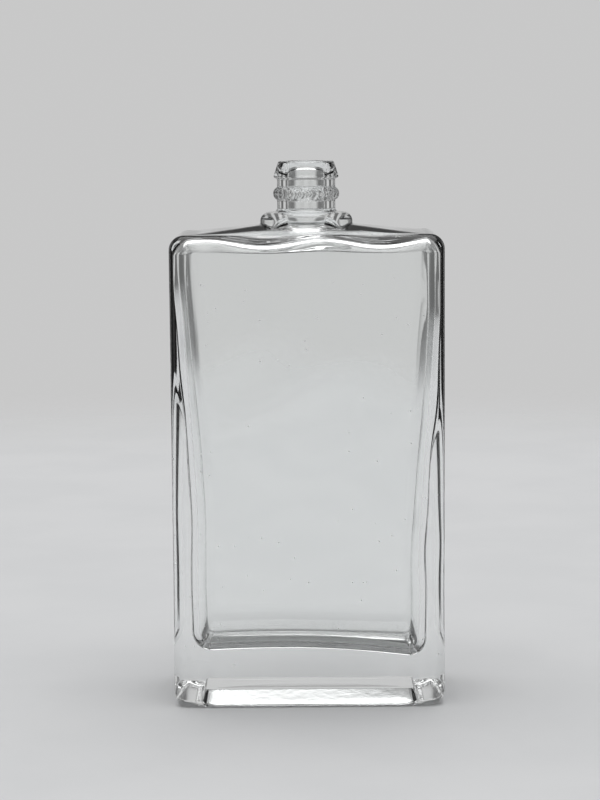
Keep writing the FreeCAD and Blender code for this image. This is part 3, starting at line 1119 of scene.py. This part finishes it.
@dataclass(frozen=True)
class MouldRelief:
    """Small relief that the mould leaves: stipples under the base and a knurl round the neck's bead.

    Each stipple and each tooth has a random share of the full size, and not less than the least.
    """

    stipple_height: float = 0.35
    stipple_radius: float = 0.52
    stipple_pitch: float = 1.78
    stipple_least: float = 0.72
    row_width: float = 1.06
    tooth_count: int = 30
    tooth_depth: float = 0.24
    tooth_least: float = 0.45
    seed: int = 7

    def press(self, piece: bpy.types.Object, glass: bpy.types.Material) -> None:
        """Press the relief into a piece and leave it a plain mesh.

        Args:
            piece: The skin, with its marks.
            glass: The material that the relief and the rest of the skin get.
        """
        inputs = self._inputs(glass)
        tree = self._tree({name: kind for name, (kind, _) in inputs.items()})
        modifier = piece.modifiers.new("mould_relief", "NODES")
        modifier.node_group = tree
        for item in tree.interface.items_tree:
            if item.in_out == "INPUT" and item.name in inputs:
                modifier[item.identifier] = inputs[item.name][1]
        graph = bpy.context.evaluated_depsgraph_get()
        pressed = bpy.data.meshes.new_from_object(piece.evaluated_get(graph), depsgraph=graph)
        piece.modifiers.remove(modifier)
        raw, piece.data = piece.data, pressed
        pressed.name = piece.name
        bpy.data.meshes.remove(raw)
        bpy.data.node_groups.remove(tree)

    def _inputs(self, glass: bpy.types.Material) -> dict[str, tuple[str, Any]]:
        """List the tree's named inputs.

        Args:
            glass: The material that the skin gets.

        Returns:
            The kind of socket and the value of each input, by its name.
        """
        lengths = {
            "Stipple Height": self.stipple_height,
            "Stipple Radius": self.stipple_radius,
            "Stipple Pitch": self.stipple_pitch,
            "Row Width": self.row_width,
            "Tooth Depth": self.tooth_depth,
        }
        inputs = {name: ("Float", length * MM) for name, length in lengths.items()}
        inputs["Tooth Count"] = ("Float", float(self.tooth_count))
        inputs["Seed"] = ("Int", self.seed)
        inputs["Glass"] = ("Material", glass)
        return inputs

    def _tree(self, kinds: Mapping[str, str]) -> bpy.types.NodeTree:
        """Build the node tree.

        Args:
            kinds: The kind of socket of each named input.

        Returns:
            The tree.
        """
        tree = bpy.data.node_groups.new("mould_relief", "GeometryNodeTree")
        bench = NodeBench(tree)
        for name, kind in {"Geometry": "Geometry", **kinds}.items():
            tree.interface.new_socket(name, in_out="INPUT", socket_type=f"NodeSocket{kind}")
        tree.interface.new_socket("Geometry", in_out="OUTPUT", socket_type="NodeSocketGeometry")
        given = bench.node("NodeGroupInput")
        sink = self._stipples(bench, given)
        groove = self._knurl(bench, given)
        sockets = {0: bench.node("GeometryNodeInputNormal"), "Scale": 0 - groove}
        inwards = bench.node("ShaderNodeVectorMath", {"operation": "SCALE"}, sockets)
        down = bench.node("ShaderNodeCombineXYZ", None, {"Z": 0 - sink})
        offset = bench.node("ShaderNodeVectorMath", {"operation": "ADD"}, {0: inwards, 1: down})
        pressed = bench.node("GeometryNodeSetPosition", None, {"Geometry": given, "Offset": offset})
        real = bench.node("GeometryNodeRealizeInstances", None, {"Geometry": pressed})
        sockets = {"Geometry": real, "Material": given.twin("Glass")}
        dressed = bench.node("GeometryNodeSetMaterial", None, sockets)
        bench.node("NodeGroupOutput", None, {"Geometry": dressed}, None)
        return tree

    @staticmethod
    def _mark(bench: NodeBench, mark: Mark) -> Wire:
        """Read one of the skin's marks."""
        return bench.node("GeometryNodeInputNamedAttribute", {"data_type": "FLOAT"}, {"Name": mark.value})

    @staticmethod
    def _vary(bench: NodeBench, given: Wire, number: Wire, least: float) -> Wire:
        """Draw a random share of full size for each number, from the least to all of it."""
        chance = {"Min": least, "Max": 1.0, "ID": number, "Seed": given.twin("Seed")}
        return bench.node("FunctionNodeRandomValue", {"data_type": "FLOAT"}, chance, "Value")

    def _stipples(self, bench: NodeBench, given: Wire) -> Wire:
        """Work out how far each point sinks for the stipples.

        Args:
            bench: Where the nodes go.
            given: The tree's inputs.

        Returns:
            The depth at each point.
        """
        along = self._mark(bench, Mark.ALONG)
        beside = (bench.sum(Sum.FRACTION, along) - 0.5) * given.twin("Stipple Pitch")
        across = self._mark(bench, Mark.OUTWARD) - given.twin("Row Width") * 0.5
        radius = given.twin("Stipple Radius")
        dome = bench.ease(1 - (beside * beside + across * across) / (radius * radius), 0.0, 1.0)
        size = self._vary(bench, given, bench.sum(Sum.FLOOR, along), self.stipple_least)
        return dome * size * self._mark(bench, Mark.STIPPLED) * given.twin("Stipple Height")

    def _knurl(self, bench: NodeBench, given: Wire) -> Wire:
        """Work out how deep each point lies in a groove of the bead's knurl.

        Args:
            bench: Where the nodes go.
            given: The tree's inputs.

        Returns:
            The depth at each point.
        """
        count = given.twin("Tooth Count")
        turn = self._mark(bench, Mark.TURN) * count
        groove = 0.5 - bench.sum(Sum.COSINE, turn * FULL_TURN) * 0.5
        number = bench.sum(Sum.WRAP, bench.sum(Sum.FLOOR, turn), count, 0.0)
        size = self._vary(bench, given, number, self.tooth_least)
        return groove * size * self._mark(bench, Mark.KNURLED) * given.twin("Tooth Depth")


@dataclass
class GlassBottle:
    """The whole piece of glass, from its underside to its rim and back down to its floor."""

    foot: Foot
    block: BodyBlock
    shoulder: Shoulder
    finish: NeckFinish
    cavity: Cavity
    relief: MouldRelief
    name: str = "flint_bottle"

    @classmethod
    def in_frame(cls) -> "GlassBottle":
        """Take the overall sizes and the mouth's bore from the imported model.

        Returns:
            The bottle, ready to build.
        """
        low, high = (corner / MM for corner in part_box(NODE))
        mounts = {mount["name"]: mount for mount in frame["record"]["mounts"]}
        relief = MouldRelief()
        block = BodyBlock((high.x - low.x) / 2, (high.y - low.y) / 2)
        foot = Foot(block, low.z + relief.stipple_height, relief.stipple_pitch, relief.row_width)
        shoulder = Shoulder(block)
        finish = NeckFinish(shoulder, high.z, bore_radius=mounts[MOUTH]["dims"]["r_mm"])
        return cls(foot, block, shoulder, finish, Cavity(block, finish), relief)

    def build(self) -> bpy.types.Object:
        """Make the skin as one closed mesh.

        Returns:
            The piece, with the marks for its relief.
        """
        rings = [
            *self.foot.rings(),
            *self.block.rings(self.foot.edge()),
            *self.shoulder.rings(self.finish.pedestal_radius + self.finish.pedestal_foot),
            *self.finish.rings(),
            *self.cavity.rings(),
        ]
        points = np.vstack([ring.points for ring in rings]) * MM
        mesh = bpy.data.meshes.new(self.name)
        mesh.from_pydata(points.tolist(), [], list(self._faces(rings)), shade_flat=False)
        for mark in Mark:
            values = [ring.marks.get(mark, np.zeros(len(ring.points))) for ring in rings]
            layer = mesh.attributes.new(mark.value, "FLOAT", "POINT")
            layer.data.foreach_set("value", np.concatenate(values).astype(np.float32))
        piece = bpy.data.objects.new(self.name, mesh)
        bpy.context.scene.collection.objects.link(piece)
        return piece

    def dress(self, piece: bpy.types.Object, glass: FlintGlass) -> None:
        """Press in the relief, give the piece its finish and set it in the frame.

        Args:
            piece: The skin.
            glass: The finish.
        """
        self.relief.press(piece, glass.make())
        for mark in Mark:
            layer = piece.data.attributes.get(mark.value)
            if layer:
                piece.data.attributes.remove(layer)
        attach(piece, BODY)
        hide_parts(NODE)

    @staticmethod
    def _faces(rings: Sequence[Ring]) -> Iterator[list[int]]:
        """Join each ring to the next, also where one is finer or is a single point.

        Args:
            rings: Rings in order.

        Yields:
            Faces, as lists of point numbers, pointing out of the glass.
        """
        start = 0
        for low, high in zip(rings, rings[1:]):
            near, far = len(low.points), len(high.points)
            after = start + near
            steps = max(near, far) if 1 in (near, far) else min(near, far)
            for step in range(steps):
                here = GlassBottle._run(start, near, step, steps)
                there = GlassBottle._run(after, far, step, steps)
                yield from GlassBottle._patch(here, there)
            start = after

    @staticmethod
    def _patch(here: list[int], there: list[int]) -> Iterator[list[int]]:
        """Fill one step of the join, by triangles where one side of it has more points.

        Args:
            here: Point numbers along the ring that the step starts from.
            there: Point numbers along the ring that it reaches.

        Yields:
            Faces, as lists of point numbers.
        """
        if max(len(here), len(there)) == 2:
            yield here + there[::-1]
            return
        near = far = 0
        while near < len(here) - 1 or far < len(there) - 1:
            if (near + 0.5) * (len(there) - 1) < (far + 0.5) * (len(here) - 1):
                yield [here[near], here[near + 1], there[far]]
                near += 1
            else:
                yield [here[near], there[far + 1], there[far]]
                far += 1

    @staticmethod
    def _run(start: int, count: int, step: int, steps: int) -> list[int]:
        """List a ring's points along one step of the join.

        Args:
            start: Number of the ring's first point.
            count: How many points it has.
            step: The step.
            steps: How many steps go all the way round.

        Returns:
            Point numbers, both ends of the step included.
        """
        if count == 1:
            return [start]
        each = count // steps
        return [start + (step * each + place) % count for place in range(each + 1)]


@dataclass(frozen=True)
class Studio:
    """Pale table, soft surroundings with a broad light overhead, and the camera. Lengths are in metres.

    A rise is the pair of upward slopes between which one part of the surroundings gives way to the next.
    """

    table_radius: float = 0.7
    table_points: int = 96
    panel: float = 0.58
    panel_count: int = 8
    panel_span: Span = (-0.35, 0.5)
    gap: float = 0.14
    room: float = 0.26
    room_rise: Span = (0.34, 0.52)
    overhead: float = 2.3
    overhead_rise: Span = (0.72, 0.84)
    camera_place: tuple[float, float, float] = (-0.00175, -0.528, 0.1336)
    camera_pitch: float = 7.01
    camera_roll: float = -0.42
    camera_near: float = 0.01
    focal_pixels: float = 2302.0
    image_height: float = 800.0

    def table(self, finish: StudioFloor) -> bpy.types.Object:
        """Lay the table top.

        Args:
            finish: Its finish.

        Returns:
            The table.
        """
        turns = np.linspace(0, FULL_TURN, self.table_points, endpoint=False)
        rim = self.table_radius * np.column_stack((np.cos(turns), np.sin(turns), np.zeros_like(turns)))
        mesh = bpy.data.meshes.new("table_top")
        mesh.from_pydata(rim.tolist(), [], [list(range(self.table_points))])
        mesh.materials.append(finish.make())
        table = bpy.data.objects.new("table_top", mesh)
        bpy.context.scene.collection.objects.link(table)
        return table

    def surroundings(self) -> bpy.types.World:
        """Set up a ring of pale panels with dim gaps, a dim room above them and a broad light overhead.

        Returns:
            The world.
        """
        world = bpy.data.worlds.new("studio")
        world.use_nodes = True
        bench = NodeBench(world.node_tree)
        across = bench.node("ShaderNodeSeparateXYZ", None, {0: bench.node("ShaderNodeTexCoord")}, "X")
        deep, up = across.twin("Y"), across.twin("Z")
        bearing = bench.sum(Sum.BEARING, deep, across)
        beat = bench.sum(Sum.COSINE, bearing * self.panel_count)
        ring = bench.ease(beat, *self.panel_span, self.gap, self.panel)
        fade = bench.ease(up, *self.room_rise)
        light = bench.ease(up, *self.overhead_rise, 0.0, self.overhead - self.room)
        glow = ring * (1 - fade) + fade * self.room + light
        background = bench.node("ShaderNodeBackground", None, {"Color": (1, 1, 1, 1), "Strength": glow})
        bench.node("ShaderNodeOutputWorld", None, {"Surface": background}, None)
        bpy.context.scene.world = world
        return world

    def camera(self) -> bpy.types.Object:
        """Place the camera where the photograph was taken from.

        Returns:
            The camera.
        """
        data = bpy.data.cameras.new("camera")
        data.lens = self.focal_pixels / self.image_height * data.sensor_width
        data.clip_start = self.camera_near
        camera = bpy.data.objects.new("camera", data)
        camera.location = self.camera_place
        tilt = Euler((QUARTER_TURN - math.radians(self.camera_pitch), 0, 0)).to_matrix()
        roll = Matrix.Rotation(math.radians(self.camera_roll), 3, "Z")
        camera.rotation_euler = (tilt @ roll).to_euler()
        bpy.context.scene.collection.objects.link(camera)
        bpy.context.scene.camera = camera
        return camera


def main() -> None:
    """Build the bottle and the studio round it."""
    logging.basicConfig(level=logging.INFO, format="%(name)s: %(message)s")
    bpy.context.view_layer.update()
    bottle = GlassBottle.in_frame()
    piece = bottle.build()
    bottle.dress(piece, FlintGlass())
    LOG.info("%s: %d points, %d faces", piece.name, len(piece.data.vertices), len(piece.data.polygons))
    studio = Studio()
    table = studio.table(StudioFloor())
    world = studio.surroundings()
    camera = studio.camera()
    LOG.info("studio: %s, %s, %s", table.name, world.name, camera.name)
    bpy.context.scene.view_settings.view_transform = "Standard"


if __name__ == "__main__":
    main()
